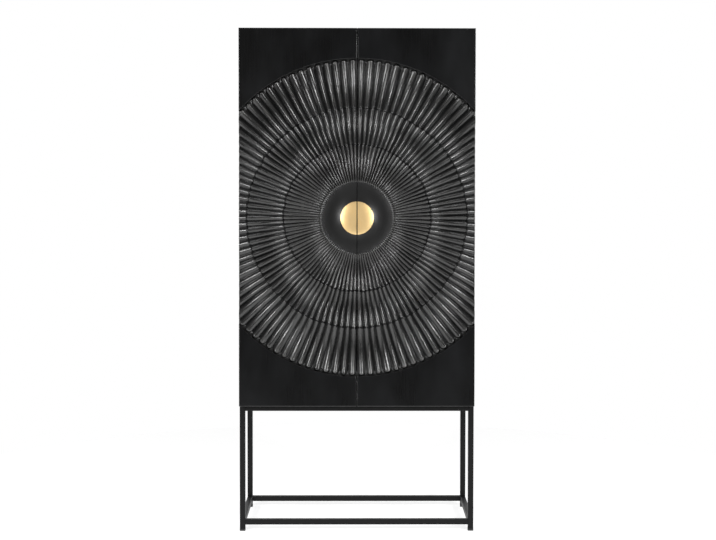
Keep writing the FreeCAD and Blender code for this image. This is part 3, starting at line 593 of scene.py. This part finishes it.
def door_front_mesh(rng):
    """Open mesh of the right-hand door's front: the carving and the flat field round it."""
    points, marks = carving(rng)
    rows, columns = points.shape[:2]
    verts = [tuple(p) for p in points.reshape(-1, 3)]
    values = [tuple(m) for m in marks.reshape(-1, 3)]
    faces = []
    for row in range(rows - 1):
        for column in range(columns - 1):
            corner = row * columns + column
            faces.append((corner, corner + columns, corner + columns + 1, corner + 1))
    carved_faces = len(faces)

    # The field: strips from the rim of the recess up to the top edge or down to the bottom edge
    rim = (rows - 1) * columns
    edge = {}
    for column in range(columns):
        x, _, z = verts[rim + column]
        edge[column] = len(verts)
        verts.append((x, DOOR_FRONT, DOOR_HIGH.z if z > SUN_Z else DOOR_LOW.z))
        values.append((0, 0, 0))
    for column in range(columns - 1):
        if verts[rim + column][0] < DOOR_HIGH.x or verts[rim + column + 1][0] < DOOR_HIGH.x:
            faces.append((rim + column, edge[column], edge[column + 1], rim + column + 1))

    shape = bmesh.new()
    layer = shape.verts.layers.float_vector.new("carve")
    made = [shape.verts.new(v) for v in verts]
    for vert, value in zip(made, values):
        vert[layer] = value
    for index, face in enumerate(faces):
        shape.faces.new([made[corner] for corner in face]).material_index = int(index >= carved_faces)
    return shape


def slice_door(shape):
    """Cuts the front to the door's outline and eases its edges, which get the carving's finish."""
    def cut(place_on_plane, normal, clear):
        """Cuts along a plane, and clears what lies outside it if asked."""
        geometry = shape.verts[:] + shape.edges[:] + shape.faces[:]
        bmesh.ops.bisect_plane(shape, geom=geometry, dist=1e-7, plane_co=place_on_plane, plane_no=normal,
                               clear_outer=clear)

    sides = [(DOOR_LOW, Vector((-1, 0, 0))), (DOOR_HIGH, Vector((1, 0, 0))),
             (DOOR_LOW, Vector((0, 0, -1))), (DOOR_HIGH, Vector((0, 0, 1)))]
    for corner, outward in sides:
        cut(corner, outward, True)
        for inset in DOOR_EDGE_CUTS:
            cut(corner - outward * DOOR_EDGE * inset, outward, False)
    for vert in shape.verts:
        for corner, outward in sides:
            reach = (vert.co - corner).dot(outward) + DOOR_EDGE
            if reach > 0:
                ease = DOOR_EDGE - math.sqrt(max(0.0, DOOR_EDGE ** 2 - reach ** 2))
                vert.co.y = max(vert.co.y, DOOR_FRONT + ease)
    for face in shape.faces:
        middle = face.calc_center_median()
        if any((middle - corner).dot(outward) > -DOOR_EDGE for corner, outward in sides):
            face.material_index = 0


def close_door(shape):
    """Sides and back of the door behind its front."""
    bmesh.ops.delete(shape, geom=[v for v in shape.verts if not v.link_faces], context="VERTS")
    rim = [edge for edge in shape.edges if len(edge.link_faces) == 1]
    middle = (DOOR_LOW + DOOR_HIGH) / 2
    half = (DOOR_HIGH - DOOR_LOW) / 2
    for y, inset in ((DOOR_BACK - DOOR_EDGE / 2, 0), (DOOR_BACK, DOOR_EDGE / 2)):
        made = bmesh.ops.extrude_edge_only(shape, edges=rim)["geom"]
        for face in made:
            if isinstance(face, bmesh.types.BMFace):
                face.material_index = 1
        for vert in made:
            if isinstance(vert, bmesh.types.BMVert):
                vert.co.y = y
                vert.co.x = middle.x + (vert.co.x - middle.x) * (1 - inset / half.x)
                vert.co.z = middle.z + (vert.co.z - middle.z) * (1 - inset / half.z)
        rim = [edge for edge in made if isinstance(edge, bmesh.types.BMEdge) and len(edge.link_faces) == 1]
    for face in bmesh.ops.edgeloop_fill(shape, edges=rim)["faces"]:
        face.material_index = 1
    bmesh.ops.recalc_face_normals(shape, faces=shape.faces)


def door_cut_outs():
    """What is cut from the back of the right-hand door: hinge notches and seats of the pull's screws."""
    shape = bmesh.new()
    pins_low, pins_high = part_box("right_hinge_pins")
    axis_x = (pins_low.x + pins_high.x) / 2
    axis_y = (pins_low.y + pins_high.y) / 2
    lowest = pins_low.z + HINGE_LENGTH / 2
    for z in np.linspace(lowest, 2 * SUN_Z - lowest, HINGES_PER_DOOR):
        notch = Matrix.Translation((axis_x, axis_y, z))
        bmesh.ops.create_cone(shape, cap_ends=True, segments=32, radius1=NOTCH_RADIUS, radius2=NOTCH_RADIUS,
                              depth=HINGE_LENGTH + 2 * NOTCH_END, matrix=notch)
    for x, z in pull_screw_places():
        seat = Matrix.Translation((x, DOOR_BACK, z)) @ Matrix.Rotation(math.pi / 2, 4, "X")
        bmesh.ops.create_cone(shape, cap_ends=True, segments=32, radius1=SCREW_SEAT_RADIUS,
                              radius2=SCREW_SEAT_RADIUS, depth=2 * SCREW_SEAT_DEPTH, matrix=seat)
    for face in shape.faces:
        face.material_index = 1
    return shape


def pull_screw_places():
    """Middles of the right-hand pull's two screws, across and up."""
    low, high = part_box("right_handle_screws")
    half = (high.x - low.x) / 2
    return [(low.x + half, low.z + half), (low.x + half, high.z - half)]


def carved_door(side, seed):
    """One door with its carving; the left one is drawn on the right and mirrored."""
    node = side + "_door_panel"
    shape = door_front_mesh(np.random.default_rng(seed))
    cutter = door_cut_outs()
    slice_door(shape)
    close_door(shape)
    if side == "left":
        mirror(shape)
        mirror(cutter)
    mesh = bpy.data.meshes.new(node + "_carved")
    shape.to_mesh(mesh)
    shape.free()
    door = finish_piece(node + "_carved", mesh, node)
    mesh.materials.append(DOOR_FIELD)
    cut_out(door, cutter)
    smooth_shaded(door.data, 50)
    field = {vert for face in door.data.polygons if face.material_index for vert in face.vertices}
    keep_flat(door, sorted(field))
    return door


# Boards, tubes and pull

def eased_board(node):
    """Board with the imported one's shape and eased edges."""
    shape = bmesh.new()
    shape.from_mesh(frame["nodes"][node].data)
    bmesh.ops.remove_doubles(shape, verts=shape.verts, dist=1e-6)
    bmesh.ops.dissolve_limit(shape, angle_limit=math.radians(1), verts=shape.verts, edges=shape.edges)
    sharp = [edge for edge in shape.edges
             if edge.calc_face_angle(0) > math.radians(50) and edge.calc_length() > SMALLEST_EASED]
    bmesh.ops.bevel(shape, geom=sharp, offset=BOARD_EDGE, offset_type="OFFSET", segments=3, profile=0.5,
                    affect="EDGES", clamp_overlap=True)
    mesh = bpy.data.meshes.new(node + "_eased")
    shape.to_mesh(mesh)
    shape.free()
    smooth_shaded(mesh, 40)
    board = finish_piece(node + "_eased", mesh, node)
    keep_flat(board)
    return board


def rounded_square(half, corner, steps):
    """Outline of a square with rounded corners."""
    outline = []
    for quarter in range(4):
        for step in range(steps + 1):
            turn = math.pi / 2 * (quarter + step / steps)
            sign_x = 1 if quarter in (0, 3) else -1
            sign_y = 1 if quarter in (0, 1) else -1
            outline.append((sign_x * (half - corner) + corner * math.cos(turn),
                            sign_y * (half - corner) + corner * math.sin(turn)))
    return outline


def round_tube(node):
    """Square tube with rounded corners in the place of a packed one."""
    low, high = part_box(node)
    size = high - low
    along = max(range(3), key=lambda axis: size[axis])
    others = [axis for axis in range(3) if axis != along]
    middle = (low + high) / 2
    half = size[others[0]] / 2
    outline = rounded_square(half, TUBE_CORNER, 5)
    shape = bmesh.new()
    loops = []
    for end in (low[along], high[along]):
        loop = []
        for first, second in outline:
            co = [0, 0, 0]
            co[along] = end
            co[others[0]] = middle[others[0]] + first
            co[others[1]] = middle[others[1]] + second
            loop.append(shape.verts.new(co))
        loops.append(loop)
    count = len(outline)
    for index in range(count):
        after = (index + 1) % count
        shape.faces.new((loops[0][index], loops[0][after], loops[1][after], loops[1][index]))
    shape.faces.new(loops[0])
    shape.faces.new(loops[1])
    bmesh.ops.recalc_face_normals(shape, faces=shape.faces)
    mesh = bpy.data.meshes.new(node + "_tube")
    shape.to_mesh(mesh)
    shape.free()
    smooth_shaded(mesh, 40)
    tube = finish_piece(node + "_tube", mesh, node)
    keep_flat(tube)
    return tube


def half_pull(side):
    """Half of the domed brass disc, with eased edges, on its two posts."""
    node = side + "_handle"
    low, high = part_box("right_handle")
    radius = (high.z - low.z) / 2
    back = DOOR_FRONT - PULL_STANDOFF
    rise = back - low.y - PULL_RIM
    profile = [(CENTRE_RADIUS, low.y)]
    for ring in range(1, PULL_RINGS + 1):
        share = math.sin(ring / PULL_RINGS * math.pi / 2)
        profile.append((radius * share, low.y + rise * share ** PULL_DOME_POWER))
    profile += [(radius, back), (CENTRE_RADIUS, back)]
    turns = np.linspace(0, math.pi, PULL_TURNS + 1)
    shape = bmesh.new()
    grid = [[shape.verts.new((r * math.sin(turn), y, SUN_Z + r * math.cos(turn))) for turn in turns]
            for r, y in profile]
    for near, far in zip(grid, grid[1:]):
        for index in range(PULL_TURNS):
            shape.faces.new((near[index], near[index + 1], far[index + 1], far[index]))
    geometry = shape.verts[:] + shape.edges[:] + shape.faces[:]
    bmesh.ops.bisect_plane(shape, geom=geometry, dist=1e-7, plane_co=(low.x + PULL_SEAM, 0, 0),
                           plane_no=(-1, 0, 0), clear_outer=True)
    bmesh.ops.edgeloop_fill(shape, edges=[edge for edge in shape.edges if len(edge.link_faces) == 1])
    bmesh.ops.recalc_face_normals(shape, faces=shape.faces)
    sharp = [edge for edge in shape.edges if edge.calc_face_angle() > math.radians(40)]
    bmesh.ops.bevel(shape, geom=sharp, offset=PULL_EDGE, offset_type="OFFSET", segments=3, profile=0.5,
                    affect="EDGES", clamp_overlap=True)

    # The posts stand on the boss, round the screws from behind
    foot = high.y
    for x, z in pull_screw_places():
        upright = Matrix.Translation((x, (foot + back) / 2, z)) @ Matrix.Rotation(math.pi / 2, 4, "X")
        bmesh.ops.create_cone(shape, cap_ends=True, segments=32, radius1=POST_RADIUS, radius2=POST_RADIUS,
                              depth=foot - back, matrix=upright)
    if side == "left":
        mirror(shape)
    mesh = bpy.data.meshes.new(node + "_domed")
    shape.to_mesh(mesh)
    shape.free()
    smooth_shaded(mesh, 40)
    return finish_piece(node + "_domed", mesh, node)


# Studio

def studio_world():
    """White to the camera, a plain level of fill, and for gloss a white backdrop and a dim room in front."""
    world = bpy.data.worlds.new("studio")
    bpy.context.scene.world = world
    world.use_nodes = True
    tree = world.node_tree
    coords = tree.nodes.new("ShaderNodeTexCoord")
    split = place(tree, "ShaderNodeSeparateXYZ", Vector=coords.outputs["Generated"])
    path = tree.nodes.new("ShaderNodeLightPath")
    mirrored = calc(tree, "MAXIMUM", path.outputs["Is Glossy Ray"], path.outputs["Is Transmission Ray"])
    backdrop = remap(tree, split.outputs["Y"], ROOM_EDGE, BACKDROP_EDGE, ROOM_LEVEL, 1.0)
    strength = pick(tree, mirrored, FILL_LEVEL, backdrop)
    strength = pick(tree, path.outputs["Is Camera Ray"], strength, 1.0)
    background = tree.nodes["Background"]
    background.inputs["Color"].default_value = (1, 1, 1, 1)
    tree.links.new(strength, background.inputs["Strength"])


def studio_floor():
    """White floor that keeps the object's shadow."""
    shape = bmesh.new()
    bmesh.ops.create_circle(shape, cap_ends=True, segments=96, radius=FLOOR_RADIUS)
    mesh = bpy.data.meshes.new("floor")
    shape.to_mesh(mesh)
    shape.free()
    floor = bpy.data.objects.new("floor", mesh)
    bpy.context.scene.collection.objects.link(floor)
    made, tree, shader = material("floor")
    path = tree.nodes.new("ShaderNodeLightPath")
    mirrored = calc(tree, "MAXIMUM", path.outputs["Is Glossy Ray"], path.outputs["Is Transmission Ray"])
    seen = calc(tree, "MAXIMUM", path.outputs["Is Camera Ray"], mirrored)
    glow = calc(tree, "MULTIPLY", seen, FLOOR_GLOW)
    feed(tree, shader, Base_Color=(0.9, 0.9, 0.9, 1), Roughness=0.9, Emission_Color=(1, 1, 1, 1),
         Emission_Strength=glow)
    mesh.materials.append(made)


def softbox(name, position, target, size, power):
    """Area lamp aimed at a point."""
    light = bpy.data.lights.new(name, "AREA")
    light.shape = "RECTANGLE"
    light.size, light.size_y = size
    light.energy = power
    lamp = bpy.data.objects.new(name, light)
    bpy.context.scene.collection.objects.link(lamp)
    lamp.location = position
    lamp.rotation_euler = (Vector(target) - Vector(position)).to_track_quat("-Z", "Y").to_euler()
    lamp.visible_camera = False


def studio_camera():
    """Camera at the photograph's viewing angle."""
    camera = bpy.data.cameras.new("camera")
    camera.sensor_fit = "HORIZONTAL"
    camera.sensor_width = SENSOR_MM
    camera.lens = FOCAL_PIXELS / IMAGE_WIDTH * SENSOR_MM
    camera.shift_x = -SHIFT_PIXELS[0] / IMAGE_WIDTH
    camera.shift_y = SHIFT_PIXELS[1] / IMAGE_WIDTH
    holder = bpy.data.objects.new("camera", camera)
    bpy.context.scene.collection.objects.link(holder)
    turn = (Matrix.Rotation(CAMERA_YAW, 4, "Z") @ Matrix.Rotation(math.pi / 2 + CAMERA_PITCH, 4, "X")
            @ Matrix.Rotation(-CAMERA_ROLL, 4, "Z"))
    holder.matrix_world = Matrix.Translation(CAMERA_PLACE) @ turn
    bpy.context.scene.camera = holder


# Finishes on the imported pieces, then the pieces modelled here, then the studio

for name, piece in frame["nodes"].items():
    piece.data.materials.clear()
    piece.data.materials.append(FINISHES[SLOT_OF[name]])
    smooth_shaded(piece.data, 35)

carved_door("right", 11)
carved_door("left", 23)
half_pull("right")
half_pull("left")
for name in SLOT_OF:
    if SLOT_OF[name] == "black_wood":
        eased_board(name)
    if name.endswith(("_leg", "_top_rail", "_low_rail")):
        round_tube(name)

studio_world()
studio_floor()
sun_middle = (0, DOOR_FRONT, SUN_Z)
softbox("left_box", (-SIDE_BOX_OUT, -SIDE_BOX_AHEAD, SIDE_BOX_UP), sun_middle, SIDE_BOX_SIZE, SIDE_BOX_POWER)
softbox("right_box", (SIDE_BOX_OUT, -SIDE_BOX_AHEAD, SIDE_BOX_UP), sun_middle, SIDE_BOX_SIZE, SIDE_BOX_POWER)
softbox("top_box", (0, -TOP_BOX_AHEAD, TOP_BOX_UP), sun_middle, TOP_BOX_SIZE, TOP_BOX_POWER)
studio_camera()

bpy.context.scene.view_settings.view_transform = "Standard"
